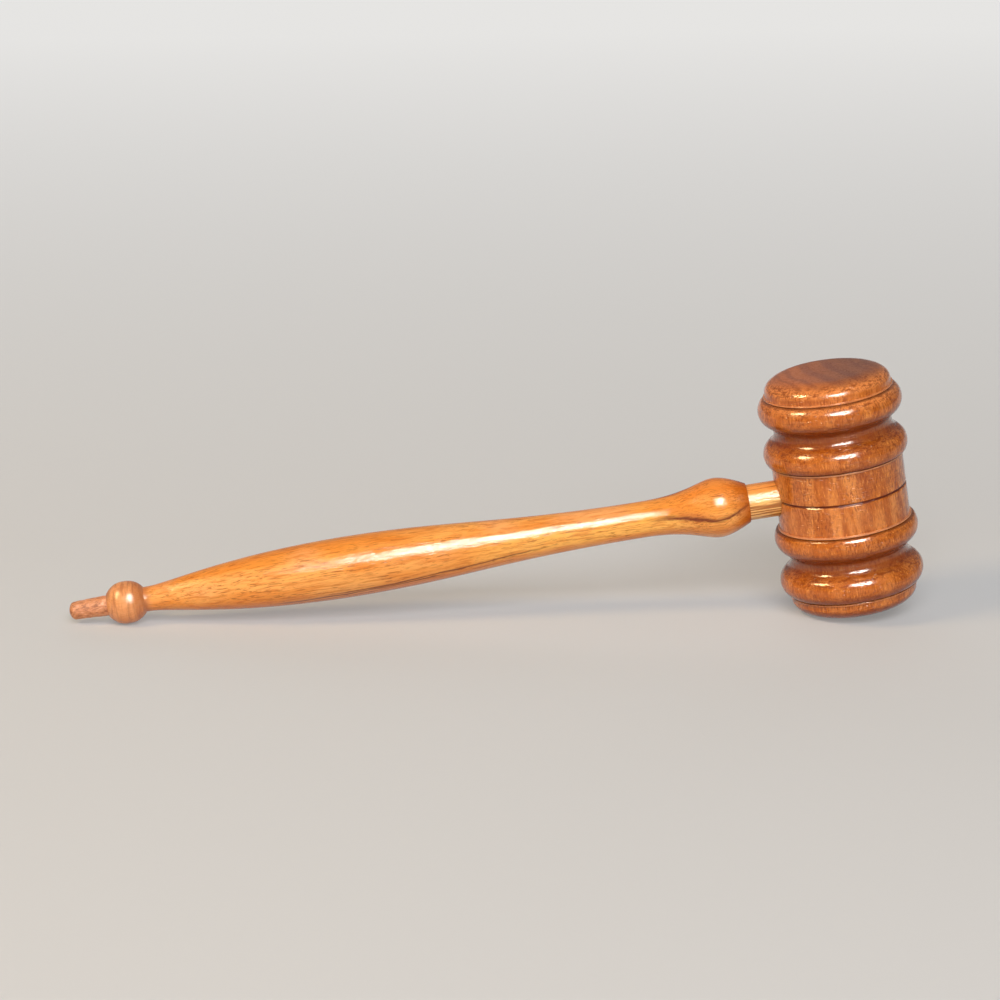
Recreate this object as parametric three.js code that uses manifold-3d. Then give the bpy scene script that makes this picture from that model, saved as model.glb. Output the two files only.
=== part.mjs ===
// A turned wooden gavel, in millimetres with Z up. It lies as it is put down on a desk: on the
// rounded lower rim of its head and on the ball at the butt of its handle.
import * as THREE from 'three';
import { mergeVertices } from 'three/addons/utils/BufferGeometryUtils.js';
import Module from 'manifold-3d';

// Head: one block, turned alike above and below the middle of its band.
const beadDiameter = 50.8;
const bandDepth = 2.3; // from the crown of the beads in to the band
const bandLength = 22.2;
const scoreWidth = 1.2; // the V line cut round the middle of the band
const scoreDepth = 0.6;
const filletWidth = 0.5; // the small square step that borders the beads
const filletStep = 0.6;
const quirkWidth = 0.6; // the fine V between a fillet and its bead
const quirkDepth = 0.6;
const coveDepth = 4.6;
const coveRadius = 3.5;
const innerBeadToCove = 8;
const coveToOuterBead = 7.9;
const innerBeadEdge = THREE.MathUtils.degToRad(32.6); // from the bead's crown to its quirk
const outerBeadEdge = THREE.MathUtils.degToRad(50.4);
const capDepth = 3.2; // from the crown of the beads in to the cap
const capWall = 1.4;
const shoulderHeight = 5;
const faceDiameter = 28; // the flat that strikes

// Neck dowel: it joins the handle to the head, glued into a blind hole in each.
const dowelDiameter = 12.7;
const dowelShown = 10;
const dowelChamfer = 0.8;
const mortiseDepth = 28.6;
const bulbHoleDepth = 18;

// Handle: one stick, turned with a ball, a neck, a swelling grip, a waist and a bulb.
const ballDiameter = 15;
const ballLength = 14.8; // of the whole ellipse that its ends are cut from
const ballBelt = 1; // the straight round its widest part
const neckDiameter = 8.8;
const ballToNeck = 1;
const neckToSwell = 72;
const swellDiameter = 21.5;
const swellToWaist = 104;
const waistDiameter = 12.8;
const waistToCrown = 26.6;
const bulbDiameter = 21.1;
const bulbNose = 11; // from the bulb's crown to its end
const bulbLip = 0.45; // wood round the mouth of the dowel's hole
// Each curve runs along the handle for a share of its length at its start and at its end.
const gripShares = [0.12, 0.6];
const taperShares = [0.36, 0.48];
const flareShares = [0.62, 0.2];
const noseShare = 0.33;

// Butt peg: a whittled peg, glued into the ball.
const pegDiameter = 7.2;
const pegTipDiameter = 6.2;
const pegShown = 13.4;
const pegRounding = 1.8;
const pegHoleDepth = 8;

const glueGap = 0.3; // round a dowel or peg, and at the bottom of its hole
const overrun = 2; // how far a cutter starts outside the wood

const headFacets = 48;
const handleFacets = 32;

const wasm = await Module();
wasm.setup();

// Points of an arc as [radius, place]. Angle zero points away from the axis of the turning, and
// a quarter turn points along it.
function arc(centre, across, along, from, to, steps) {
  const points = [];
  for (let step = 0; step <= steps; step += 1) {
    const angle = from + ((to - from) * step) / steps;
    points.push([centre[0] + across * Math.cos(angle), centre[1] + along * Math.sin(angle)]);
  }
  return points;
}

// Points of a curve that leaves its start along the axis and comes into its end along the axis.
function sweep(start, end, shares, steps) {
  const length = end[1] - start[1];
  const curve = new THREE.CubicBezierCurve(
    new THREE.Vector2(...start),
    new THREE.Vector2(start[0], start[1] + length * shares[0]),
    new THREE.Vector2(end[0], end[1] - length * shares[1]),
    new THREE.Vector2(...end),
  );
  return curve.getPoints(steps).map((point) => point.toArray());
}

// A body turned from an outline of [radius, place] that starts and ends on the axis. A facet,
// and not an edge, looks down at the desk. Slivers on the axis are left out.
function turn(outline, facets) {
  const points = outline.map(([radius, place]) => new THREE.Vector2(radius, place));
  const lathed = new THREE.LatheGeometry(points, facets, Math.PI / facets);
  lathed.deleteAttribute('normal');
  lathed.deleteAttribute('uv');
  const body = mergeVertices(lathed);
  const corners = [];
  for (let first = 0; first < body.index.count; first += 3) {
    const [a, b, c] = body.index.array.slice(first, first + 3);
    if (a !== b && b !== c && c !== a) corners.push(a, b, c);
  }
  body.setIndex(corners);
  return body;
}

function toSolid(body) {
  return new wasm.Manifold(new wasm.Mesh({
    numProp: 3,
    vertProperties: new Float32Array(body.attributes.position.array),
    triVerts: new Uint32Array(body.index.array),
  }));
}

function toGeometry(solid) {
  const mesh = solid.getMesh();
  const body = new THREE.BufferGeometry();
  body.setAttribute('position', new THREE.BufferAttribute(mesh.vertProperties, 3));
  body.setIndex(new THREE.BufferAttribute(mesh.triVerts, 1));
  return body;
}

function makePiece(name, body, colour, roughness) {
  const material = new THREE.MeshStandardMaterial({ color: colour, roughness, metalness: 0 });
  const piece = new THREE.Mesh(body, material);
  piece.name = name;
  return piece;
}

// The bead, cove and bead run into each other in one smooth line, so the radius of a bead
// follows from the cove's and from how far its crown lies from the cove's floor.
const crownRadius = beadDiameter / 2;
const bandRadius = crownRadius - bandDepth;
const capRadius = crownRadius - capDepth;
const faceRadius = faceDiameter / 2;
const beadRadius = (spacing) => (coveDepth ** 2 + spacing ** 2) / (2 * coveDepth) - coveRadius;
const innerRadius = beadRadius(innerBeadToCove);
const outerRadius = beadRadius(coveToOuterBead);

// Places along the head, from the middle of its band towards a face.
const filletAt = bandLength / 2;
const quirkAt = filletAt + filletWidth;
const innerBeadAt = quirkAt + quirkWidth + innerRadius * Math.sin(innerBeadEdge);
const coveAt = innerBeadAt + innerBeadToCove;
const outerBeadAt = coveAt + coveToOuterBead;
const capQuirkAt = outerBeadAt + outerRadius * Math.sin(outerBeadEdge);
const capFilletAt = capQuirkAt + quirkWidth;
const capAt = capFilletAt + filletWidth;
const shoulderAt = capAt + capWall;
const faceAt = shoulderAt + shoulderHeight;

const innerCentre = [crownRadius - innerRadius, innerBeadAt];
const coveCentre = [crownRadius - coveDepth + coveRadius, coveAt];
const outerCentre = [crownRadius - outerRadius, outerBeadAt];
const innerJoin = Math.atan2(innerBeadToCove, coveCentre[0] - innerCentre[0]);
const outerJoin = Math.atan2(coveToOuterBead, coveCentre[0] - outerCentre[0]);

function headOutline() {
  const upper = [
    [bandRadius, scoreWidth / 2],
    [bandRadius, filletAt],
    [bandRadius + filletStep, filletAt],
    [bandRadius + filletStep, quirkAt],
    [bandRadius + filletStep - quirkDepth, quirkAt + quirkWidth / 2],
    ...arc(innerCentre, innerRadius, innerRadius, -innerBeadEdge, innerJoin, 8),
    ...arc(coveCentre, coveRadius, coveRadius, Math.PI + innerJoin, Math.PI - outerJoin, 6).slice(1, -1),
    ...arc(outerCentre, outerRadius, outerRadius, -outerJoin, outerBeadEdge, 9),
    [capRadius + filletStep - quirkDepth, capQuirkAt + quirkWidth / 2],
    [capRadius + filletStep, capFilletAt],
    [capRadius + filletStep, capAt],
    [capRadius, capAt],
    ...arc([faceRadius, shoulderAt], capRadius - faceRadius, shoulderHeight, 0, Math.PI / 2, 6),
    [0, faceAt],
  ];
  const lower = upper.map(([radius, place]) => [radius, -place]).reverse();
  return [...lower, [bandRadius - scoreDepth, 0], ...upper];
}

// The head stands on Z, and the handle, dowel and peg lie on X and reach away from it to -X.
const lengthwise = (outline) => turn(outline, handleFacets).rotateZ(-Math.PI / 2);

// The dowel's hole comes in through the band and stops short of the far side.
const holeRadius = dowelDiameter / 2 + glueGap;
function makeHead() {
  const block = turn(headOutline(), headFacets).rotateX(Math.PI / 2);
  const mortise = lengthwise([
    [0, -crownRadius - overrun],
    [holeRadius, -crownRadius - overrun],
    [holeRadius, mortiseDepth - bandRadius],
    [0, mortiseDepth - bandRadius],
  ]);
  return toGeometry(toSolid(block).subtract(toSolid(mortise)));
}

// Places along the handle, from the middle of its ball towards the head. The ball stops at the
// peg's hole on one side and at the neck on the other.
const ballRadius = ballDiameter / 2;
const pegHoleRadius = pegDiameter / 2 + glueGap;
const pegEdge = Math.acos(pegHoleRadius / ballRadius);
const neckEdge = Math.acos(neckDiameter / ballDiameter);
const ballFaceAt = -(ballBelt + ballLength * Math.sin(pegEdge)) / 2;
const neckAt = (ballBelt + ballLength * Math.sin(neckEdge)) / 2 + ballToNeck;
const swellAt = neckAt + neckToSwell;
const waistAt = swellAt + swellToWaist;
const bulbAt = waistAt + waistToCrown;
const handleEnd = bulbAt + bulbNose;

function handleOutline() {
  const neck = [neckDiameter / 2, neckAt];
  const swell = [swellDiameter / 2, swellAt];
  const waist = [waistDiameter / 2, waistAt];
  const bulb = [bulbDiameter / 2, bulbAt];
  const mouth = [holeRadius + bulbLip, handleEnd];
  const nose = new THREE.QuadraticBezierCurve(
    new THREE.Vector2(...bulb),
    new THREE.Vector2(bulb[0], bulbAt + bulbNose * noseShare),
    new THREE.Vector2(...mouth),
  );
  return [
    [0, ballFaceAt + pegHoleDepth],
    [pegHoleRadius, ballFaceAt + pegHoleDepth],
    ...arc([0, -ballBelt / 2], ballRadius, ballLength / 2, -pegEdge, 0, 7),
    ...arc([0, ballBelt / 2], ballRadius, ballLength / 2, 0, neckEdge, 7),
    ...sweep(neck, swell, gripShares, 12),
    ...sweep(swell, waist, taperShares, 12).slice(1),
    ...sweep(waist, bulb, flareShares, 9).slice(1),
    ...nose.getPoints(6).map((point) => point.toArray()).slice(1),
    [holeRadius, handleEnd],
    [holeRadius, handleEnd - bulbHoleDepth],
    [0, handleEnd - bulbHoleDepth],
  ];
}

// The dowel runs from the bottom of one hole to the bottom of the other, less the glue.
const dowelLength = bulbHoleDepth + dowelShown + mortiseDepth - 2 * glueGap;
const dowelRadius = dowelDiameter / 2;
const dowelOutline = [
  [0, 0],
  [dowelRadius - dowelChamfer, 0],
  [dowelRadius, dowelChamfer],
  [dowelRadius, dowelLength - dowelChamfer],
  [dowelRadius - dowelChamfer, dowelLength],
  [0, dowelLength],
];

// The peg tapers from the ball's face to its rounded tip. Its place is zero at that face.
const pegOutline = [
  ...arc([0, pegRounding - pegShown], pegTipDiameter / 2, pegRounding, -Math.PI / 2, 0, 5),
  [pegDiameter / 2, 0],
  [pegDiameter / 2, pegHoleDepth - glueGap],
  [0, pegHoleDepth - glueGap],
];

// Places on X of the mouth of the handle's hole and of the middle of its ball.
const handleMouth = -bandRadius - dowelShown;
const ballAt = handleMouth - handleEnd;

const head = makePiece('head', makeHead(), 0xb5652f, 0.25);
const handle = makePiece('handle', lengthwise(handleOutline()), 0xee9a4a, 0.25);
const neckDowel = makePiece('neck_dowel', lengthwise(dowelOutline), 0xeaaf66, 0.35);
const buttPeg = makePiece('butt_peg', lengthwise(pegOutline), 0xe09a6a, 0.55);
handle.position.x = ballAt;
neckDowel.position.x = handleMouth - bulbHoleDepth + glueGap;
buttPeg.position.x = ballAt + ballFaceAt;

// How far pieces reach in a direction, from the middle of the head.
function reach(pieces, direction) {
  const corner = new THREE.Vector3();
  let furthest = -Infinity;
  for (const piece of pieces) {
    const corners = piece.geometry.attributes.position;
    for (let index = 0; index < corners.count; index += 1) {
      corner.fromBufferAttribute(corners, index).add(piece.position);
      furthest = Math.max(furthest, corner.dot(direction));
    }
  }
  return furthest;
}

// The handle droops until the head and the rest of the gavel reach equally far down. The angle
// is found by halving the range that holds it.
const stick = [handle, neckDowel, buttPeg];
const downAt = (tilt) => new THREE.Vector3(-Math.sin(tilt), 0, -Math.cos(tilt));
let least = 0;
let most = Math.PI / 2;
const halvings = 40;
for (let halving = 0; halving < halvings; halving += 1) {
  const middle = (least + most) / 2;
  if (reach([head], downAt(middle)) > reach(stick, downAt(middle))) least = middle;
  else most = middle;
}
const tilt = (least + most) / 2;

// The gavel's own origin is on the desk, under the middle of its length.
const gavel = new THREE.Group();
gavel.name = 'gavel';
gavel.add(head, handle, neckDowel, buttPeg);
const pieces = [head, ...stick];
const ahead = new THREE.Vector3(Math.cos(tilt), 0, -Math.sin(tilt));
const behind = ahead.clone().negate();
gavel.rotation.y = -tilt;
gavel.position.set((reach(pieces, behind) - reach(pieces, ahead)) / 2, 0, reach(pieces, downAt(tilt)));

export default gavel;
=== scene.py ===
"""The dressed gavel: a turned hardwood head and handle under gloss varnish, on a pale floor."""
import bpy
import math
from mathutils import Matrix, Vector


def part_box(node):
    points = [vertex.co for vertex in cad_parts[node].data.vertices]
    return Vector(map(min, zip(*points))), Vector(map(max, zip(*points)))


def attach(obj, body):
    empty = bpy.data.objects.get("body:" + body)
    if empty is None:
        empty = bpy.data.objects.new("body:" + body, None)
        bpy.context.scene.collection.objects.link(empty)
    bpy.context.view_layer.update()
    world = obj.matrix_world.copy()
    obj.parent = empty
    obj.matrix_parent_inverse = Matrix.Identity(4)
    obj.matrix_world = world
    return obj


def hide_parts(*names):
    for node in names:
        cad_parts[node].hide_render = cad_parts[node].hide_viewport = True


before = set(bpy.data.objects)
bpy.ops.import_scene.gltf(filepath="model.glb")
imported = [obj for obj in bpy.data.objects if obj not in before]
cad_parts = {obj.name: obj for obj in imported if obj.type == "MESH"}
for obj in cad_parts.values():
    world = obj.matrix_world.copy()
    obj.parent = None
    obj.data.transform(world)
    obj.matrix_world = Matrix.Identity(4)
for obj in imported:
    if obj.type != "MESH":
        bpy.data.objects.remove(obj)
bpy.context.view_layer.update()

# The camera. It faces the gavel's near side from the height of a seated eye, and looks down on it
# a little through a long lens. Its place is in metres.
CAMERA_PLACE = (-0.07335, -1.34825, 0.42075)
CAMERA_DOWN = math.radians(15.652)
CAMERA_LEAN = math.radians(0.15)
CAMERA_RIGHT = math.radians(3.19)
LEVEL = math.radians(90)
SENSOR_WIDTH = 36
LENS_LENGTH = 144
bpy.ops.object.camera_add(
    location=CAMERA_PLACE,
    rotation=(LEVEL - CAMERA_DOWN, CAMERA_LEAN, -CAMERA_RIGHT),
)
camera = bpy.context.object
camera.name = "camera"
camera.data.sensor_width = SENSOR_WIDTH
camera.data.lens = LENS_LENGTH
bpy.context.scene.camera = camera

# Head. One block of dense reddish-brown hardwood, turned between centres with its grain along
# its length: a band with a scored line, and on each side of it a bead, a cove, a bead and a cap.
# A blind hole bored in the band holds the handle's dowel. The wood's sizes are in millimetres.
MM = 0.001
BEAD_CROWN = 25.4
BAND_DROP = 2.3
BAND_RADIUS = BEAD_CROWN - BAND_DROP
BAND_HALF = 11.1
SCORE_WIDTH = 1.2
SCORE_DEPTH = 0.6
FILLET_WIDTH = 0.5
FILLET_STEP = 0.6
QUIRK_WIDTH = 0.6
QUIRK_DEPTH = 0.6
COVE_DEPTH = 4.6
COVE_RADIUS = 3.5
INNER_SPACING = 8.0
OUTER_SPACING = 7.9
INNER_EDGE = math.radians(32.6)
OUTER_EDGE = math.radians(50.4)
CAP_DROP = 3.2
CAP_RADIUS = BEAD_CROWN - CAP_DROP
CAP_WALL = 1.4
SHOULDER_HEIGHT = 5.0
FACE_RADIUS = 14.0
MORTISE_RADIUS = 6.65
MORTISE_FLOOR = 5.5
CUTTER_OVERRUN = 2
BAND_STEPS = 10
INNER_STEPS = 22
COVE_STEPS = 18
OUTER_STEPS = 26
SHOULDER_STEPS = 18
FACE_STEPS = 6
HEAD_SIDES = 160
MORTISE_SIDES = 96
MERGE_WITHIN = 0.002
SANDED = 0.1
SANDED_STEPS = 2
SHARP_ANGLE = 30
SMOOTH_ANGLE = 50

# The head stands on its own axis and the handle on another, square to it. Both come from the
# frame: the head's middle, and the line from there to the middle of the neck dowel.
head_low, head_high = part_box("head")
dowel_low, dowel_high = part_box("neck_dowel")
middle = (head_low + head_high) / 2
to_head = (middle - (dowel_low + dowel_high) / 2).normalized()
droop = math.atan2(to_head.z, to_head.x)
up_head = Vector((-math.sin(droop), 0, math.cos(droop)))
near_side = Vector((0, -1, 0))


def arc(centre, across, along, start, end, steps):
    """Points of an arc as (radius, place). Angle zero points away from the axis of the turning."""
    points = []
    for step in range(steps + 1):
        angle = start + (end - start) * step / steps
        points.append((centre[0] + across * math.cos(angle), centre[1] + along * math.sin(angle)))
    return points


def line(start, end, steps):
    """Points of a straight stretch of an outline, without its first."""
    return [
        (start[0] + (end[0] - start[0]) * step / steps, start[1] + (end[1] - start[1]) * step / steps)
        for step in range(1, steps + 1)
    ]


def turn(name, outline, axis, sides):
    """Draws an outline of (radius, place), point by point, and turns it round the axis."""
    points = [middle + near_side * radius * MM + axis * place * MM for radius, place in outline]
    bpy.ops.object.select_all(action="DESELECT")
    bpy.ops.mesh.primitive_plane_add(size=MM, location=points[0])
    piece = bpy.context.object
    piece.name = name
    bpy.ops.object.mode_set(mode="EDIT")
    bpy.ops.mesh.merge(type="CENTER")
    for here, there in zip(points, points[1:]):
        bpy.ops.mesh.extrude_vertices_move(TRANSFORM_OT_translate={"value": there - here})
    bpy.ops.mesh.select_all(action="SELECT")
    bpy.ops.mesh.spin(steps=sides, angle=math.tau, center=middle, axis=axis)
    bpy.ops.mesh.select_all(action="SELECT")
    bpy.ops.mesh.remove_doubles(threshold=MERGE_WITHIN * MM)
    bpy.ops.mesh.normals_make_consistent(inside=False)
    bpy.ops.object.mode_set(mode="OBJECT")
    bpy.ops.object.transform_apply(location=True, rotation=True, scale=True)
    return piece


def soften(radius, sharpness):
    """Rounds the sharp rings of the piece that was just turned, as sanding does."""
    bpy.ops.object.mode_set(mode="EDIT")
    bpy.ops.mesh.select_all(action="DESELECT")
    bpy.ops.mesh.edges_select_sharp(sharpness=math.radians(sharpness))
    bpy.ops.mesh.bevel(offset=radius * MM, segments=SANDED_STEPS, profile=0.5)
    bpy.ops.object.mode_set(mode="OBJECT")
    bpy.ops.object.shade_smooth_by_angle(angle=math.radians(SMOOTH_ANGLE))


def bead_radius(spacing):
    """The radius of a bead that runs into the cove in one smooth line."""
    return (COVE_DEPTH ** 2 + spacing ** 2) / (2 * COVE_DEPTH) - COVE_RADIUS


inner_bead = bead_radius(INNER_SPACING)
outer_bead = bead_radius(OUTER_SPACING)
quirk_at = BAND_HALF + FILLET_WIDTH
inner_at = quirk_at + QUIRK_WIDTH + inner_bead * math.sin(INNER_EDGE)
cove_at = inner_at + INNER_SPACING
outer_at = cove_at + OUTER_SPACING
cap_quirk_at = outer_at + outer_bead * math.sin(OUTER_EDGE)
cap_fillet_at = cap_quirk_at + QUIRK_WIDTH
cap_at = cap_fillet_at + FILLET_WIDTH
shoulder_at = cap_at + CAP_WALL
face_at = shoulder_at + SHOULDER_HEIGHT
inner_centre = (BEAD_CROWN - inner_bead, inner_at)
cove_centre = (BEAD_CROWN - COVE_DEPTH + COVE_RADIUS, cove_at)
outer_centre = (BEAD_CROWN - outer_bead, outer_at)
inner_join = math.atan2(INNER_SPACING, cove_centre[0] - inner_centre[0])
outer_join = math.atan2(OUTER_SPACING, cove_centre[0] - outer_centre[0])
cove_ends = (math.pi + inner_join, math.pi - outer_join)
cove = arc(cove_centre, COVE_RADIUS, COVE_RADIUS, *cove_ends, COVE_STEPS)
shoulder_size = (CAP_RADIUS - FACE_RADIUS, SHOULDER_HEIGHT)
upper = [
    (BAND_RADIUS, SCORE_WIDTH / 2),
    *line((BAND_RADIUS, SCORE_WIDTH / 2), (BAND_RADIUS, BAND_HALF), BAND_STEPS),
    (BAND_RADIUS + FILLET_STEP, BAND_HALF),
    (BAND_RADIUS + FILLET_STEP, quirk_at),
    (BAND_RADIUS + FILLET_STEP - QUIRK_DEPTH, quirk_at + QUIRK_WIDTH / 2),
    *arc(inner_centre, inner_bead, inner_bead, -INNER_EDGE, inner_join, INNER_STEPS),
    *cove[1:-1],
    *arc(outer_centre, outer_bead, outer_bead, -outer_join, OUTER_EDGE, OUTER_STEPS),
    (CAP_RADIUS + FILLET_STEP - QUIRK_DEPTH, cap_quirk_at + QUIRK_WIDTH / 2),
    (CAP_RADIUS + FILLET_STEP, cap_fillet_at),
    (CAP_RADIUS + FILLET_STEP, cap_at),
    (CAP_RADIUS, cap_at),
    *arc((FACE_RADIUS, shoulder_at), *shoulder_size, 0, math.pi / 2, SHOULDER_STEPS),
    *line((FACE_RADIUS, face_at), (0, face_at), FACE_STEPS),
]
lower = [(radius, -place) for radius, place in reversed(upper)]
score = (BAND_RADIUS - SCORE_DEPTH, 0)
head = turn("turned_head", [*lower, score, *upper], up_head, HEAD_SIDES)
soften(SANDED, SHARP_ANGLE)

cutter_start = -BEAD_CROWN - CUTTER_OVERRUN
mortise = turn("mortise_cutter", [
    (0, cutter_start), (MORTISE_RADIUS, cutter_start),
    (MORTISE_RADIUS, MORTISE_FLOOR), (0, MORTISE_FLOOR),
], to_head, MORTISE_SIDES)
cut = head.modifiers.new("mortise", "BOOLEAN")
cut.operation = "DIFFERENCE"
cut.solver = "EXACT"
cut.object = mortise
bpy.ops.object.select_all(action="DESELECT")
bpy.context.view_layer.objects.active = head
bpy.ops.object.modifier_apply(modifier=cut.name)
bpy.data.objects.remove(mortise)


def paint(code):
    """A colour written in sRGB hex, as the linear colour that a shader takes."""
    levels = [int(code[place:place + 2], 16) / 255 for place in (0, 2, 4)]
    linear = [
        level / 12.92 if level <= 0.04045 else ((level + 0.055) / 1.055) ** 2.4 for level in levels
    ]
    return (*linear, 1)


def node(tree, kind, inputs=None, **settings):
    """Adds a node with its settings. An input takes a value or another node's output."""
    made = tree.nodes.new("ShaderNode" + kind)
    for name, value in settings.items():
        setattr(made, name, value)
    for name, value in (inputs or {}).items():
        if isinstance(value, bpy.types.NodeSocket):
            tree.links.new(value, made.inputs[name])
        else:
            made.inputs[name].default_value = value
    return made


def new_wood(name):
    """A new material, its nodes, and the place of each point in the wood. The place is in
    millimetres from the head's middle: along the handle, across it, and along the head."""
    made = bpy.data.materials.new(name)
    made.use_nodes = True
    made.node_tree.nodes.clear()
    place = node(made.node_tree, "Mapping", {
        "Vector": node(made.node_tree, "TexCoord").outputs["Object"],
        "Location": middle, "Rotation": (0, -droop, 0), "Scale": (MM, MM, MM),
    }, vector_type="TEXTURE").outputs[0]
    return made, made.node_tree, place


# Stained and varnished rosewood, its grain along the head. Broad growth stripes stand upright on
# the band, with short dark flecks of cut fibre over them, and their faint arcs show in the end
# grain of the flats. Where the flanks of the beads and the rim of the cap cross the grain, the
# fibre is torn into short dark marks that lie round the head. Painted shade, with some stain,
# darkens the grooves and hollows, and the undersides of the beads are painted darker as shade.
# Painted highlights lighten the fillets beside the grooves and the upward faces by the cap, and
# the flats are painted lighter at one side and darker at the other. Small nibs in the varnish
# catch the light. The patterns' sizes are across, across and along.
DRIFT = (14, 14, 40)
DRIFT_MEAN = (0.5, 0.5, 0.5)
WAVE = (5, 5, 5)
PITH = (58, 16, 0)
RING_TAPER = (1, 1, 0.03)
STRIPE = 4.2
STRIPE_FADE = 1
RIBBON = (6, 6, 33)
CLOUD = (20, 20, 20)
FLECK = (0.65, 0.65, 2.2)
TOOL_RING = (11, 11, 0.5)
PATCH = (11, 11, 11)
TORN = (2.6, 2.6, 0.8)
NIB = (2.4, 2.4, 0.5)
STAIN_FULL = 1.5
STAIN_REACH = 5.0
GROOVE_REACH = 0.5
GROOVE_FULL = 0.4
END_FADE = 2.5
END_PALE_AT = -13.0
END_DARK_AT = 9.0
FLECK_RELIEF = -0.6
TOOL_RELIEF = -0.7
NIB_RELIEF = 3.0
RELIEF_DEPTH = 0.12
rosewood, tree, grain = new_wood("varnished_rosewood")
drift = node(tree, "TexNoise", {
    "Vector": node(tree, "VectorMath", {0: grain, 1: DRIFT}, operation="DIVIDE").outputs[0],
    "Scale": 1.0, "Detail": 2.0, "Roughness": 0.5,
}).outputs["Color"]
wavy = node(tree, "VectorMath", {
    0: node(tree, "VectorMath", {0: drift, 1: DRIFT_MEAN}, operation="SUBTRACT").outputs[0],
    1: WAVE, 2: grain,
}, operation="MULTIPLY_ADD").outputs[0]
from_pith = node(tree, "VectorMath", {
    0: node(tree, "VectorMath", {0: wavy, 1: PITH}, operation="SUBTRACT").outputs[0],
    1: RING_TAPER,
}, operation="MULTIPLY").outputs[0]
rings = node(tree, "TexNoise", {
    "W": node(tree, "VectorMath", {0: from_pith}, operation="LENGTH").outputs["Value"],
    "Scale": 1 / STRIPE, "Detail": 1.5, "Roughness": 0.5,
}, noise_dimensions="1D").outputs[0]
ribbon, cloud, fleck, tool_ring, patch, torn, nib = (
    node(tree, "TexNoise", {
        "Vector": node(tree, "VectorMath", {0: place, 1: size}, operation="DIVIDE").outputs[0],
        "Scale": 1.0, "Detail": detail, "Roughness": roughness,
    }).outputs[0]
    for place, size, detail, roughness in (
        (wavy, RIBBON, 2.0, 0.5),
        (grain, CLOUD, 2.0, 0.5),
        (wavy, FLECK, 3.0, 0.65),
        (grain, TOOL_RING, 2.0, 0.6),
        (grain, PATCH, 1.0, 0.5),
        (grain, TORN, 3.0, 0.65),
        (grain, NIB, 1.0, 0.5),
    )
)
facing_up = node(tree, "VectorMath", {
    0: node(tree, "TexCoord").outputs["Normal"], 1: up_head,
}, operation="DOT_PRODUCT").outputs["Value"]
flank = node(tree, "Math", {0: facing_up}, operation="ABSOLUTE").outputs[0]
across = node(tree, "SeparateXYZ", {0: wavy}).outputs[0]
along = node(tree, "Math", {
    0: node(tree, "SeparateXYZ", {0: grain}).outputs[2],
}, operation="ABSOLUTE").outputs[0]
off_cove = node(tree, "Math", {
    0: node(tree, "Math", {0: along, 1: cove_at}, operation="SUBTRACT").outputs[0],
}, operation="ABSOLUTE").outputs[0]

# Each share follows one reading, between two levels or places, from a first strength to a last
# one. Some marks need two of the shares together.
shares = {
    name: node(tree, "MapRange", {
        "Value": reading, "From Min": start, "From Max": stop, "To Min": first, "To Max": last,
    }, interpolation_type="SMOOTHSTEP").outputs[0]
    for name, reading, start, stop, first, last in (
        ("on_band", along, BAND_HALF, quirk_at + STRIPE_FADE, 1.0, 0.45),
        ("ring", rings, 0.4, 0.62, 0.0, 0.6),
        ("ribbon", ribbon, 0.4, 0.6, 0.0, 1.0),
        ("cloud", cloud, 0.5, 0.7, 0.0, 0.45),
        ("fleck", fleck, 0.49, 0.62, 0.0, 0.8),
        ("fleck_patch", patch, 0.3, 0.62, 0.4, 1.0),
        ("bright", fleck, 0.44, 0.3, 0.0, 0.7),
        ("tool_ring", tool_ring, 0.5, 0.7, 0.0, 0.35),
        ("tool_patch", patch, 0.42, 0.6, 0.0, 1.0),
        ("torn", torn, 0.49, 0.62, 0.0, 0.7),
        ("on_flank", flank, 0.1, 0.6, 0.0, 1.0),
        ("nib", nib, 0.62, 0.72, 0.0, 1.0),
        # Painted shade: faces that look down are darker.
        ("painted_shade_below", facing_up, -0.1, -0.7, 0.0, 0.85),
        ("upper", facing_up, 0.05, 0.5, 0.0, 0.65),
        ("near_cap", along, outer_at, cap_at, 0.0, 1.0),
        # Painted shade, with some stain, in the coves.
        ("cove", off_cove, STAIN_FULL, STAIN_REACH, 0.65, 0.0),
        ("end", along, face_at - END_FADE, face_at, 0.0, 0.7),
        # Painted light and sheen across the flats.
        ("end_light_side", across, END_PALE_AT, END_DARK_AT, 0.0, 1.0),
    )
}
shares["off_face"] = node(tree, "MapRange", {
    "Value": flank, "From Min": 0.8, "From Max": 0.98, "To Min": 1.0, "To Max": 0.15,
}).outputs[0]
for name, first, second in (
    ("ring_stripe", "ring", "on_band"),
    ("ribbon_stripe", "ribbon", "on_band"),
    ("patchy_fleck", "fleck", "fleck_patch"),
    ("tool_mark", "tool_ring", "tool_patch"),
    ("torn_flank", "torn", "on_flank"),
    ("torn_mark", "torn_flank", "off_face"),
    # Painted light on the upward faces near the cap.
    ("painted_shoulder_light", "upper", "near_cap"),
    ("end_arc", "ring", "end"),
    ("nib_mark", "nib", "off_face"),
):
    shares[name] = node(tree, "Math", {
        0: shares[first], 1: shares[second],
    }, operation="MULTIPLY").outputs[0]
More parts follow.
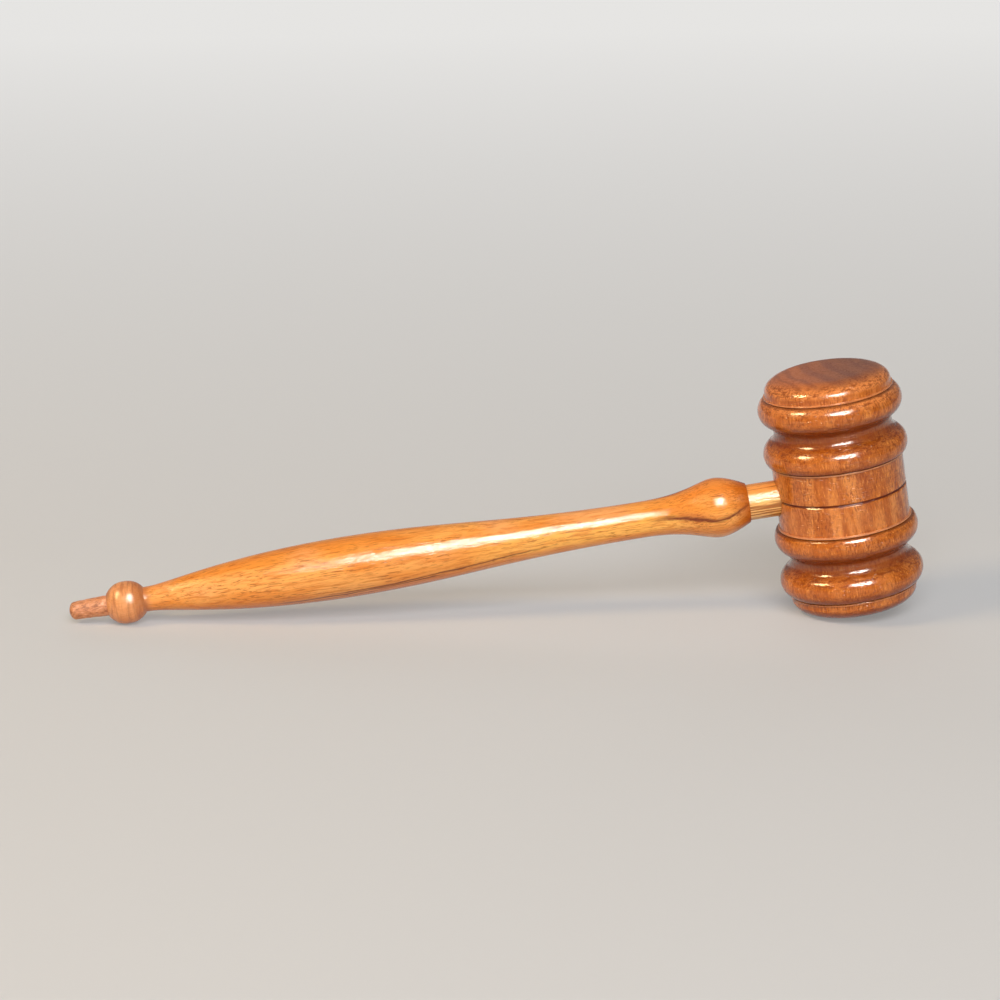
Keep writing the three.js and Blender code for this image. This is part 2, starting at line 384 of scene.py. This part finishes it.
# The flats' end grain is darker, and it is painted lighter at one side and darker and greyer at the
# other as light and sheen fall on it.
end_wood = node(tree, "Mix", {
    0: shares["end_light_side"], 6: paint("b86434"), 7: paint("6a3c2c"),
}, data_type="RGBA").outputs[2]
wood = paint("c26618")
for name, colour in (
    ("ribbon_stripe", paint("de8840")),
    ("ring_stripe", paint("a84e10")),
    ("cloud", paint("9a4818")),
    ("bright", paint("ea963e")),
    # Painted shade on the undersides of the beads.
    ("painted_shade_below", paint("863604")),
    # Painted light on the upward faces by the cap.
    ("painted_shoulder_light", paint("ee9450")),
    ("patchy_fleck", paint("8a3c08")),
    ("tool_mark", paint("7a3508")),
    # Painted shade, with some stain, in the coves.
    ("cove", paint("702806")),
    ("end", end_wood),
    ("end_arc", paint("7c4430")),
    ("torn_mark", paint("782f06")),
):
    wood = node(tree, "Mix", {0: shares[name], 6: wood, 7: colour}, data_type="RGBA").outputs[2]

# Painted highlights on the fillets, and painted shade with some stain in the scored line and the
# quirks: place, reach, strength and colour.
for place, reach, strength, code in (
    (BAND_HALF + FILLET_WIDTH / 2, FILLET_WIDTH, 0.5, "e8a070"),
    (cap_fillet_at + FILLET_WIDTH / 2, FILLET_WIDTH, 0.2, "e8a070"),
    (0.0, GROOVE_REACH, 0.95, "5c1a00"),
    (quirk_at + QUIRK_WIDTH / 2, GROOVE_REACH, 0.6, "5a2408"),
    (cap_quirk_at + QUIRK_WIDTH / 2, GROOVE_REACH, 0.5, "5a240a"),
):
    off = node(tree, "Math", {
        0: node(tree, "Math", {0: along, 1: place}, operation="SUBTRACT").outputs[0],
    }, operation="ABSOLUTE").outputs[0]
    share = node(tree, "MapRange", {
        "Value": off, "From Min": reach * GROOVE_FULL, "From Max": reach,
        "To Min": strength, "To Max": 0.0,
    }, interpolation_type="SMOOTHSTEP").outputs[0]
    wood = node(tree, "Mix", {0: share, 6: wood, 7: paint(code)}, data_type="RGBA").outputs[2]
relief = node(tree, "Math", {
    0: node(tree, "Math", {0: fleck, 1: FLECK_RELIEF}, operation="MULTIPLY").outputs[0],
    1: node(tree, "Math", {0: tool_ring, 1: TOOL_RELIEF}, operation="MULTIPLY").outputs[0],
}, operation="ADD").outputs[0]
relief = node(tree, "Math", {
    0: shares["nib_mark"], 1: NIB_RELIEF, 2: relief,
}, operation="MULTIPLY_ADD").outputs[0]
relief = node(tree, "Math", {0: relief, 1: shares["off_face"]}, operation="MULTIPLY").outputs[0]
bump = node(tree, "Bump", {"Strength": 0.5, "Distance": RELIEF_DEPTH * MM, "Height": relief}).outputs[0]
gloss = node(tree, "MapRange", {
    "Value": fleck, "From Min": 0.35, "From Max": 0.65, "To Min": 0.34, "To Max": 0.48,
}).outputs[0]
shader = node(tree, "BsdfPrincipled", {
    "Base Color": wood, "Roughness": gloss, "Specular IOR Level": 0.05, "Normal": bump,
    "Coat Weight": 1.0, "Coat Roughness": 0.13, "Coat IOR": 1.5, "Coat Normal": bump,
})
node(tree, "OutputMaterial", {"Surface": shader.outputs[0]})
head.data.materials.clear()
head.data.materials.append(rosewood)
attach(head, "root")
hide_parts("head")

# Handle. One stick of straight-grained orange-brown hardwood, turned with a ball at its butt, a
# long swelling grip, a waist, and a bulb that is bored for the neck dowel. A shallower hole in
# the ball's end holds the butt peg. It has the head's gloss varnish, a little smoother.
BALL_RADIUS = 7.5
BALL_HALF = 7.4
BALL_BELT = 1.0
NECK_RADIUS = 4.4
BALL_TO_NECK = 1.0
NECK_TO_SWELL = 72.0
SWELL_RADIUS = 10.75
SWELL_TO_WAIST = 104.0
WAIST_RADIUS = 6.4
WAIST_TO_CROWN = 26.6
BULB_RADIUS = 10.55
BULB_NOSE = 11.0
NOSE_FULLNESS = 0.36
BULB_LIP = 0.45
MOUTH_ROUNDING = 0.4
MOUTH_START = math.radians(30)
BULB_HOLE_DEPTH = 18.0
PEG_HOLE_RADIUS = 3.9
PEG_HOLE_DEPTH = 8.0
DOWEL_SHOWN = 10.0
GRIP_HOLD = (0.12, 0.6)
TAPER_HOLD = (0.36, 0.48)
BULB_HOLD = (0.62, 0.2)
BALL_STEPS = 20
BALL_NECK_STEPS = 18
GRIP_STEPS = 60
TAPER_STEPS = 64
BULB_STEPS = 30
NOSE_STEPS = 14
MOUTH_STEPS = 5
HANDLE_SIDES = 128
HANDLE_SANDED = 0.12
HANDLE_SHARP_ANGLE = 25


def sweep(start, end, leaving, coming, steps):
    """Points of a curve that leaves its start, and comes into its end, along the axis. Two shares
    of its length say how long it holds to the axis at each end."""
    length = end[1] - start[1]
    knots = [
        Vector(start), Vector((start[0], start[1] + length * leaving)),
        Vector((end[0], end[1] - length * coming)), Vector(end),
    ]
    points = []
    for step in range(steps + 1):
        t = step / steps
        weights = ((1 - t) ** 3, 3 * t * (1 - t) ** 2, 3 * t * t * (1 - t), t ** 3)
        points.append(tuple(sum((k * w for k, w in zip(knots, weights)), Vector((0, 0)))))
    return points


peg_edge = math.acos(PEG_HOLE_RADIUS / BALL_RADIUS)
neck_edge = math.acos(NECK_RADIUS / BALL_RADIUS)
ball_face_at = -BALL_BELT / 2 - BALL_HALF * math.sin(peg_edge)
neck_at = BALL_BELT / 2 + BALL_HALF * math.sin(neck_edge) + BALL_TO_NECK
swell_at = neck_at + NECK_TO_SWELL
waist_at = swell_at + SWELL_TO_WAIST
bulb_at = waist_at + WAIST_TO_CROWN
handle_end = bulb_at + BULB_NOSE
ball_at = -BAND_RADIUS - DOWEL_SHOWN - handle_end
mouth = (MORTISE_RADIUS + BULB_LIP - MOUTH_ROUNDING, handle_end - MOUTH_ROUNDING)
rim = arc(mouth, MOUTH_ROUNDING, MOUTH_ROUNDING, MOUTH_START, math.pi / 2, MOUTH_STEPS)
nose_knots = ((BULB_RADIUS, bulb_at), (BULB_RADIUS, bulb_at + BULB_NOSE * NOSE_FULLNESS), rim[0])
nose = []
for step in range(1, NOSE_STEPS + 1):
    t = step / NOSE_STEPS
    weights = ((1 - t) ** 2, 2 * t * (1 - t), t * t)
    nose.append(tuple(sum(k[axis] * w for k, w in zip(nose_knots, weights)) for axis in (0, 1)))
neck = (NECK_RADIUS, neck_at)
swell = (SWELL_RADIUS, swell_at)
waist = (WAIST_RADIUS, waist_at)
bulb = (BULB_RADIUS, bulb_at)
stick = [
    (0, ball_face_at + PEG_HOLE_DEPTH),
    (PEG_HOLE_RADIUS, ball_face_at + PEG_HOLE_DEPTH),
    *arc((0, -BALL_BELT / 2), BALL_RADIUS, BALL_HALF, -peg_edge, 0, BALL_STEPS),
    *arc((0, BALL_BELT / 2), BALL_RADIUS, BALL_HALF, 0, neck_edge, BALL_NECK_STEPS),
    *sweep(neck, swell, *GRIP_HOLD, GRIP_STEPS),
    *sweep(swell, waist, *TAPER_HOLD, TAPER_STEPS)[1:],
    *sweep(waist, bulb, *BULB_HOLD, BULB_STEPS)[1:],
    *nose,
    *rim[1:],
    (MORTISE_RADIUS, handle_end - MOUTH_ROUNDING),
    (MORTISE_RADIUS, handle_end - BULB_HOLE_DEPTH),
    (0, handle_end - BULB_HOLE_DEPTH),
]
stick = [(radius, ball_at + place) for radius, place in stick]
handle = turn("turned_handle", stick, to_head, HANDLE_SIDES)
soften(HANDLE_SANDED, HANDLE_SHARP_ANGLE)

# Varnished orange hardwood. Its growth rings lie nearly flat and lean towards the near side. A
# few show as long dark lines low on the grip and as one seam along the bulb. Fine dark dashes of
# open fibre and a faint ripple follow the grain and break up the gloss, and the underside is
# painted darker as shade. Hands have raised the grain of the grip, the lower near side of the
# waist and bulb is painted paler and yellower as light from the front, and the bulb darkens
# towards its mouth. The ball is pinker, with faint tool rings and a band of painted shade by the
# neck. The patterns' sizes are along, across and across.
HANDLE_DRIFT = (18, 6, 6)
HANDLE_WAVE = (1.6, 1.6, 1.6)
RING_LEAN = (-0.03, -0.62, 0.78)
HANDLE_STRIPE = 2.2
HANDLE_RIBBON = (50, 8, 8)
BLUSH = (33, 17, 17)
DASH = (4.5, 0.38, 0.38)
DASH_PATCH = (22, 5, 5)
FIBRE = (14, 0.75, 0.75)
RIPPLE = (9, 1.6, 1.6)
BALL_RING = (1.1, 6, 6)
DOWN = (0, 0, -1)
# The near side, painted paler as the light from the front falls on it.
LIT_SIDE = (0, -0.998, -0.07)
BALL_TO_PINK_END = (10, 6)
BALL_TO_COLLAR = (1.5, 4)
BALL_TO_COLLAR_END = (7, 9)
WAIST_TO_GRIP = (-78, -40)
WAIST_TO_LIT_FADE = 4
CROWN_TO_LIT_FADE = -6
CROWN_TO_RED = (-22, -4)
CROWN_TO_NOSE = 3
GRIP_BUTT = -195
GRIP_FRONT = -105
RAGGED = 1.3
STREAK_FADE_IN = 14
STREAK_FADE_OUT = 8
DASH_RELIEF = -0.95
FIBRE_RELIEF = -1.7
RIPPLE_RELIEF = -1.1
amber, tree, grain = new_wood("varnished_orange_hardwood")
drift = node(tree, "TexNoise", {
    "Vector": node(tree, "VectorMath", {0: grain, 1: HANDLE_DRIFT}, operation="DIVIDE").outputs[0],
    "Scale": 1.0, "Detail": 2.0, "Roughness": 0.6,
}).outputs["Color"]
wavy = node(tree, "VectorMath", {
    0: node(tree, "VectorMath", {0: drift, 1: DRIFT_MEAN}, operation="SUBTRACT").outputs[0],
    1: HANDLE_WAVE, 2: grain,
}, operation="MULTIPLY_ADD").outputs[0]
ring_at = node(tree, "VectorMath", {0: wavy, 1: RING_LEAN}, operation="DOT_PRODUCT").outputs["Value"]
rings = node(tree, "TexNoise", {
    "W": ring_at, "Scale": 1 / HANDLE_STRIPE, "Detail": 2.0, "Roughness": 0.6,
}, noise_dimensions="1D").outputs[0]
ribbon, blush, dash, dash_patch, fibre, ripple, ball_ring = (
    node(tree, "TexNoise", {
        "Vector": node(tree, "VectorMath", {0: place, 1: size}, operation="DIVIDE").outputs[0],
        "Scale": 1.0, "Detail": detail, "Roughness": roughness,
    }).outputs[0]
    for place, size, detail, roughness in (
        (wavy, HANDLE_RIBBON, 2.0, 0.5),
        (grain, BLUSH, 1.0, 0.5),
        (wavy, DASH, 2.0, 0.6),
        (wavy, DASH_PATCH, 1.0, 0.5),
        (wavy, FIBRE, 3.0, 0.6),
        (wavy, RIPPLE, 1.0, 0.5),
        (grain, BALL_RING, 2.0, 0.5),
    )
)
along = node(tree, "SeparateXYZ", {0: grain}).outputs[0]
facing_down, facing_lit = (
    node(tree, "VectorMath", {
        0: node(tree, "TexCoord").outputs["Normal"], 1: way,
    }, operation="DOT_PRODUCT").outputs["Value"]
    for way in (DOWN, LIT_SIDE)
)

# The shares of the marks, made as for the head. A pair of distances from the ball, the waist or
# the bulb's crown is the stretch over which a mark comes or goes. Places along the handle are
# from the head's middle, so they are all below zero.
pink_to, pink_full = (ball_at + place for place in BALL_TO_PINK_END)
collar_from, collar_full = (ball_at + place for place in BALL_TO_COLLAR)
collar_fading, collar_to = (ball_at + place for place in BALL_TO_COLLAR_END)
grip_fading, grip_to = (ball_at + waist_at + place for place in WAIST_TO_GRIP)
red_from, red_full = (ball_at + bulb_at + place for place in CROWN_TO_RED)
nose_from = ball_at + bulb_at + CROWN_TO_NOSE
lit_fading = ball_at + waist_at + WAIST_TO_LIT_FADE
lit_faint = ball_at + bulb_at + CROWN_TO_LIT_FADE
shares = {
    name: node(tree, "MapRange", {
        "Value": reading, "From Min": start, "From Max": stop, "To Min": first, "To Max": last,
    }, interpolation_type="SMOOTHSTEP").outputs[0]
    for name, reading, start, stop, first, last in (
        ("ring", rings, 0.48, 0.72, 0.0, 0.4),
        ("ribbon", ribbon, 0.4, 0.6, 0.0, 1.0),
        ("blush", blush, 0.5, 0.66, 0.0, 0.6),
        ("fibre", fibre, 0.46, 0.66, 0.0, 0.6),
        ("dash", dash, 0.53, 0.66, 0.0, 1.0),
        ("dash_patch", dash_patch, 0.36, 0.62, 0.3, 0.72),
        ("tool_ring", ball_ring, 0.42, 0.7, 0.0, 0.75),
        ("ball", along, pink_to, pink_full, 0.0, 0.8),
        ("past_belt", along, collar_from, collar_full, 0.0, 1.0),
        ("before_neck", along, collar_fading, collar_to, 0.55, 0.0),
        ("past_grip", along, grip_fading, grip_to, 0.0, 1.0),
        ("before_bulb", along, lit_fading, lit_faint, 1.0, 0.3),
        ("near_bulb", along, red_from, red_full, 0.0, 0.6),
        ("nose", along, nose_from, ball_at + handle_end, 0.0, 0.85),
        ("upper", facing_down, -0.35, -0.8, 0.15, 1.0),
        # Painted shade on the underside.
        ("under", facing_down, 0.25, 0.85, 0.0, 0.55),
        # Painted light on the near side.
        ("lit_side", facing_lit, 0.84, 0.98, 0.0, 0.75),
    )
}
shares["off_ball"] = node(tree, "MapRange", {
    "Value": shares["ball"], "To Min": 1.0, "To Max": 0.2,
}).outputs[0]
shares["thinner"] = node(tree, "MapRange", {
    "Value": shares["past_grip"], "To Min": 1.0, "To Max": 0.5,
}).outputs[0]
for name, first, second in (
    ("fibre_line", "fibre", "off_ball"),
    ("patchy_dash", "dash", "dash_patch"),
    ("dash_line", "patchy_dash", "off_ball"),
    ("ball_ring", "tool_ring", "ball"),
    # Painted shade in the band between the ball's belt and the neck.
    ("shaded_collar", "past_belt", "before_neck"),
    ("red", "near_bulb", "upper"),
    # Painted shade on the underside, weaker past the grip.
    ("painted_underside_shade", "under", "thinner"),
    # Painted light on the near side of the waist and bulb.
    ("lit_stretch", "lit_side", "past_grip"),
    ("painted_front_light", "lit_stretch", "before_bulb"),
    ("nose_streak", "fibre_line", "nose"),
):
    shares[name] = node(tree, "Math", {
        0: shares[first], 1: shares[second],
    }, operation="MULTIPLY").outputs[0]
wood = paint("ee9438")
for name, code in (
    ("ribbon", "f6aa54"),
    ("blush", "f6aa6c"),
    ("ring", "de7c26"),
    ("ball", "e69e68"),
    # Painted shade by the neck.
    ("shaded_collar", "b0602c"),
    ("red", "e87e26"),
    # Painted shade on the underside.
    ("painted_underside_shade", "b65c02"),
    # Painted light on the near side of the waist and bulb.
    ("painted_front_light", "fcbc58"),
    ("nose", "b4560e"),
    ("fibre_line", "cc6a18"),
    ("nose_streak", "7c3002"),
    ("ball_ring", "a65c34"),
    ("dash_line", "9c4e12"),
):
    wood = node(tree, "Mix", {0: shares[name], 6: wood, 7: paint(code)}, data_type="RGBA").outputs[2]

# The dark lines, their edges ragged with the fibre: each one's level among the growth rings, its
# half width, where it starts and stops, its strength and its colour.
ragged_at = node(tree, "Math", {0: fibre, 1: RAGGED, 2: ring_at}, operation="MULTIPLY_ADD").outputs[0]
ragged_at = node(tree, "Math", {0: ragged_at, 1: RAGGED / 2}, operation="SUBTRACT").outputs[0]
for level, width, start_at, stop_at, strength, code in (
    (1.0, 0.35, -200, -150, 0.6, "8c4406"),
    (2.9, 0.4, -205, -158, 0.75, "803c04"),
    (4.3, 0.5, -208, -140, 0.9, "6c3004"),
    (5.3, 0.55, -188, -106, 0.9, "6c3004"),
    (6.8, 2.2, -66, -44, 0.7, "b0541c"),
    (6.5, 0.8, -72, -30, 0.95, "6c2806"),
):
    off = node(tree, "Math", {
        0: node(tree, "Math", {0: ragged_at, 1: level}, operation="SUBTRACT").outputs[0],
    }, operation="ABSOLUTE").outputs[0]
    share = node(tree, "MapRange", {
        "Value": off, "From Max": width, "To Min": strength, "To Max": 0.0,
    }, interpolation_type="SMOOTHSTEP").outputs[0]
    fade_in = node(tree, "MapRange", {
        "Value": along, "From Min": start_at, "From Max": start_at + STREAK_FADE_IN,
    }, interpolation_type="SMOOTHSTEP").outputs[0]
    fade_out = node(tree, "MapRange", {
        "Value": along, "From Min": stop_at - STREAK_FADE_OUT, "From Max": stop_at,
        "To Min": 1.0, "To Max": 0.0,
    }, interpolation_type="SMOOTHSTEP").outputs[0]
    stretch = node(tree, "Math", {0: fade_in, 1: fade_out}, operation="MULTIPLY").outputs[0]
    share = node(tree, "Math", {0: share, 1: stretch}, operation="MULTIPLY").outputs[0]
    wood = node(tree, "Mix", {0: share, 6: wood, 7: paint(code)}, data_type="RGBA").outputs[2]
relief = node(tree, "Math", {
    0: node(tree, "Math", {0: dash, 1: DASH_RELIEF}, operation="MULTIPLY").outputs[0],
    1: node(tree, "Math", {0: fibre, 1: FIBRE_RELIEF}, operation="MULTIPLY").outputs[0],
}, operation="ADD").outputs[0]
relief = node(tree, "Math", {
    0: ripple, 1: RIPPLE_RELIEF, 2: relief,
}, operation="MULTIPLY_ADD").outputs[0]
handled = node(tree, "MapRange", {
    "Value": along, "From Min": GRIP_BUTT, "From Max": GRIP_FRONT, "To Min": 1.4, "To Max": 1.0,
}).outputs[0]
relief = node(tree, "Math", {0: relief, 1: handled}, operation="MULTIPLY").outputs[0]
bump = node(tree, "Bump", {"Strength": 0.5, "Distance": RELIEF_DEPTH * MM, "Height": relief}).outputs[0]
gloss = node(tree, "MapRange", {
    "Value": fibre, "From Min": 0.35, "From Max": 0.65, "To Min": 0.34, "To Max": 0.48,
}).outputs[0]
shader = node(tree, "BsdfPrincipled", {
    "Base Color": wood, "Roughness": gloss, "Specular IOR Level": 0.05, "Normal": bump,
    "Coat Weight": 1.0, "Coat Roughness": 0.085, "Coat IOR": 1.5, "Coat Normal": bump,
})
node(tree, "OutputMaterial", {"Surface": shader.outputs[0]})
handle.data.materials.clear()
handle.data.materials.append(amber)
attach(handle, "root")
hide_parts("handle")

# Neck dowel. Half-inch dowel of paler, open-grained wood, chamfered at both ends and glued into
# the bulb and the head. A short length shows between the two.
DOWEL_RADIUS = 6.35
DOWEL_CHAMFER = 0.8
GLUE = 0.3
DOWEL_STEPS = 30
DOWEL_SIDES = 96
dowel_from = -BAND_RADIUS - DOWEL_SHOWN - BULB_HOLE_DEPTH + GLUE
dowel_to = MORTISE_FLOOR - GLUE
dowel_wall = (DOWEL_RADIUS, dowel_from + DOWEL_CHAMFER)
dowel = turn("neck_dowel_rod", [
    (0, dowel_from), (DOWEL_RADIUS - DOWEL_CHAMFER, dowel_from), dowel_wall,
    *line(dowel_wall, (DOWEL_RADIUS, dowel_to - DOWEL_CHAMFER), DOWEL_STEPS),
    (DOWEL_RADIUS - DOWEL_CHAMFER, dowel_to), (0, dowel_to),
], to_head, DOWEL_SIDES)
soften(SANDED, SHARP_ANGLE)

# Varnished ash. Straight open grain runs along it in coarse dark lines on a straw ground, and
# the stain of the handle has run over its upper side. Sizes are along, across and across.
ASH_LINE = (30, 0.95, 0.95)
ASH_PORE = (3.0, 0.35, 0.35)
RUN_FROM = 2.0
RUN_FULL = 5.0
ASH_LINE_RELIEF = -3.0
ASH_PORE_RELIEF = -1.6
ASH_RELIEF_DEPTH = 0.15
ash, tree, grain = new_wood("varnished_ash")
height = node(tree, "SeparateXYZ", {0: grain}).outputs[2]
ash_line, ash_pore = (
    node(tree, "TexNoise", {
        "Vector": node(tree, "VectorMath", {0: grain, 1: size}, operation="DIVIDE").outputs[0],
        "Scale": 1.0, "Detail": 2.0, "Roughness": 0.5,
    }).outputs[0]
    for size in (ASH_LINE, ASH_PORE)
)
wood = paint("f8c070")
for reading, start, stop, strength, code in (
    (height, RUN_FROM, RUN_FULL, 0.75, "f0903c"),
    (ash_line, 0.49, 0.6, 0.9, "a05a1c"),
    (ash_pore, 0.52, 0.66, 0.5, "b87030"),
):
    share = node(tree, "MapRange", {
        "Value": reading, "From Min": start, "From Max": stop, "To Max": strength,
    }, interpolation_type="SMOOTHSTEP").outputs[0]
    wood = node(tree, "Mix", {0: share, 6: wood, 7: paint(code)}, data_type="RGBA").outputs[2]
relief = node(tree, "Math", {
    0: node(tree, "Math", {0: ash_line, 1: ASH_LINE_RELIEF}, operation="MULTIPLY").outputs[0],
    1: node(tree, "Math", {0: ash_pore, 1: ASH_PORE_RELIEF}, operation="MULTIPLY").outputs[0],
}, operation="ADD").outputs[0]
bump = node(tree, "Bump", {
    "Strength": 0.5, "Distance": ASH_RELIEF_DEPTH * MM, "Height": relief,
}).outputs[0]
gloss = node(tree, "MapRange", {
    "Value": ash_line, "From Min": 0.35, "From Max": 0.65, "To Min": 0.34, "To Max": 0.5,
}).outputs[0]
shader = node(tree, "BsdfPrincipled", {
    "Base Color": wood, "Roughness": gloss, "Specular IOR Level": 0.05, "Normal": bump,
    "Coat Weight": 1.0, "Coat Roughness": 0.06, "Coat IOR": 1.5, "Coat Normal": bump,
})
node(tree, "OutputMaterial", {"Surface": shader.outputs[0]})
dowel.data.materials.clear()
dowel.data.materials.append(ash)
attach(dowel, "root")
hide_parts("neck_dowel")

# Butt peg. A short peg whittled from pinkish wood, glued into the ball. It tapers to a rounded
# tip and is not varnished.
PEG_RADIUS = 3.6
PEG_TIP_RADIUS = 3.1
PEG_SHOWN = 13.4
PEG_ROUNDING = 1.8
PEG_TIP_STEPS = 10
PEG_TAPER_STEPS = 20
PEG_HELD_STEPS = 8
PEG_SIDES = 48
KNIFE_MARKS = 0.16
KNIFE_SEED = 4
KNIFE_SMOOTHING = 0.5
peg_face = ball_at + ball_face_at
peg_tip = (PEG_TIP_RADIUS, PEG_ROUNDING - PEG_SHOWN)
peg_end = PEG_HOLE_DEPTH - GLUE
peg_outline = [
    *arc((0, peg_tip[1]), PEG_TIP_RADIUS, PEG_ROUNDING, -math.pi / 2, 0, PEG_TIP_STEPS),
    *line(peg_tip, (PEG_RADIUS, 0), PEG_TAPER_STEPS),
    *line((PEG_RADIUS, 0), (PEG_RADIUS, peg_end), PEG_HELD_STEPS),
    (0, peg_end),
]
peg_outline = [(radius, peg_face + place) for radius, place in peg_outline]
peg = turn("butt_peg_whittled", peg_outline, to_head, PEG_SIDES)
soften(SANDED, SHARP_ANGLE)

# The knife left the shown part uneven.
bpy.ops.object.mode_set(mode="EDIT")
bpy.ops.mesh.select_all(action="DESELECT")
bpy.ops.object.mode_set(mode="OBJECT")
for corner in peg.data.vertices:
    if (corner.co - middle).dot(to_head) < (peg_face - GLUE) * MM:
        corner.select = True
bpy.ops.object.mode_set(mode="EDIT")
bpy.ops.transform.vertex_random(offset=KNIFE_MARKS * MM, uniform=0.0, normal=1.0, seed=KNIFE_SEED)
bpy.ops.mesh.vertices_smooth(factor=KNIFE_SMOOTHING, repeat=1)
bpy.ops.object.mode_set(mode="OBJECT")

# Bare cherry, cut with a knife. Torn fibre leaves it rough, with dark flecks along the grain.
# The flecks' size is along, across and across.
TEAR = (2.6, 0.9, 0.9)
TEAR_DEPTH = 0.5
cherry, tree, grain = new_wood("whittled_cherry")
tear = node(tree, "TexNoise", {
    "Vector": node(tree, "VectorMath", {0: grain, 1: TEAR}, operation="DIVIDE").outputs[0],
    "Scale": 1.0, "Detail": 4.0, "Roughness": 0.65,
}).outputs[0]
wood = paint("d08555")
for start, stop, code in (
    (0.47, 0.36, "e8aa82"),
    (0.5, 0.64, "96522c"),
):
    share = node(tree, "MapRange", {
        "Value": tear, "From Min": start, "From Max": stop, "To Max": 0.8,
    }, interpolation_type="SMOOTHSTEP").outputs[0]
    wood = node(tree, "Mix", {0: share, 6: wood, 7: paint(code)}, data_type="RGBA").outputs[2]
bump = node(tree, "Bump", {"Strength": 0.8, "Distance": TEAR_DEPTH * MM, "Height": tear}).outputs[0]
gloss = node(tree, "MapRange", {
    "Value": tear, "From Min": 0.35, "From Max": 0.65, "To Min": 0.46, "To Max": 0.64,
}).outputs[0]
shader = node(tree, "BsdfPrincipled", {
    "Base Color": wood, "Roughness": gloss, "Specular IOR Level": 0.5, "Normal": bump,
})
node(tree, "OutputMaterial", {"Surface": shader.outputs[0]})
peg.data.materials.clear()
peg.data.materials.append(cherry)
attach(peg, "root")
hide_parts("butt_peg")

# The floor, of plain matt paint that shows the gavel's shadow. To the eye and in the gloss, a
# pale backdrop takes over from it with the distance behind the gavel. Sizes are in metres.
FLOOR_SIZE = 12
FLOOR_DROP = 0.0001
BACKDROP_FROM = 0.1
BACKDROP_FULL = 1.3
bpy.ops.mesh.primitive_plane_add(size=FLOOR_SIZE, location=(0, 0, -FLOOR_DROP))
floor = bpy.context.object
floor.name = "floor"
pale = bpy.data.materials.new("pale_floor")
pale.use_nodes = True
tree = pale.node_tree
tree.nodes.clear()
matt = node(tree, "BsdfPrincipled", {
    "Base Color": paint("c2c1be"), "Roughness": 0.8, "Specular IOR Level": 0.2,
})
backdrop = node(tree, "Emission", {"Color": paint("f1f0ee"), "Strength": 1.0})
rays = node(tree, "LightPath")
seen = node(tree, "Math", {
    0: node(tree, "Math", {
        0: rays.outputs["Is Camera Ray"], 1: rays.outputs["Is Glossy Ray"],
    }, operation="MAXIMUM").outputs[0],
    1: rays.outputs["Is Transmission Ray"],
}, operation="MAXIMUM").outputs[0]
behind = node(tree, "SeparateXYZ", {0: node(tree, "TexCoord").outputs["Object"]}).outputs[1]
away = node(tree, "MapRange", {
    "Value": behind,
    "From Min": BACKDROP_FROM, "From Max": BACKDROP_FULL, "To Min": 0.25, "To Max": 0.8,
}).outputs[0]
share = node(tree, "Math", {0: seen, 1: away}, operation="MULTIPLY").outputs[0]
blend = node(tree, "MixShader", {0: share, 1: matt.outputs[0], 2: backdrop.outputs[0]})
node(tree, "OutputMaterial", {"Surface": blend.outputs[0]})
floor.data.materials.append(pale)

# The light of a room: a broad window ahead, a warm lamp to the left, and soft light from the
# front and from behind. These light the surfaces. What the gloss of the varnish shows, the
# bright panes of the window and the lamp's bulb, is separate.
LAMP_AIM = Vector((0.03, 0, 0.04))

# Name, place, width and height, colour, radiance, lights surfaces, shows in gloss.
lamps = (
    ("window", (0.18, -1.96, 1.64), (1.75, 1.2), "f4f7ff", 7.2, True, False),
    ("window_panes", (0.446, -1.777, 1.5), (0.655, 0.86), "fffcf6", 42.0, False, True),
    ("window_side_pane", (-0.126, -1.831, 1.5), (0.495, 0.52), "fffaf0", 42.0, False, True),
    ("lamp", (-1.05, -0.4, 1.25), (0.5, 0.4), "ffdca6", 17.0, True, False),
    ("lamp_bulb", (-0.995, -0.278, 1.01), (0.42, 0.34), "ffe6a8", 44.0, False, True),
    ("front", (-0.3, -2.2, 0.6), (2.2, 1.1), "fff2e2", 1.9, True, False),
    ("back", (0.2, 2.2, 0.8), (2.4, 1.2), "f8f8fa", 2.0, True, False),
)
for name, spot, size, colour, radiance, lights_surfaces, shows_in_gloss in lamps:
    bpy.ops.object.light_add(type="AREA", location=spot)
    lamp = bpy.context.object
    lamp.name = name
    lamp.data.shape = "RECTANGLE"
    lamp.data.size, lamp.data.size_y = size
    lamp.data.color = paint(colour)[:3]
    lamp.data.energy = radiance * math.pi * size[0] * size[1]
    lamp.visible_diffuse = lights_surfaces
    lamp.visible_glossy = shows_in_gloss
    aim = LAMP_AIM - Vector(spot)
    lamp.rotation_euler = aim.to_track_quat("-Z", "Y").to_euler()

# The pale walls of the room, brighter to the eye than as a light.
world = bpy.data.worlds.new("room")
bpy.context.scene.world = world
world.use_nodes = True
tree = world.node_tree
tree.nodes.clear()
seen = node(tree, "LightPath").outputs["Is Camera Ray"]
glow = node(tree, "MapRange", {"Value": seen, "To Min": 0.18, "To Max": 0.8}).outputs[0]
room = node(tree, "Background", {"Color": paint("f4f6fa"), "Strength": glow})
node(tree, "OutputWorld", {"Surface": room.outputs[0]})

bpy.context.scene.view_settings.view_transform = "Standard"
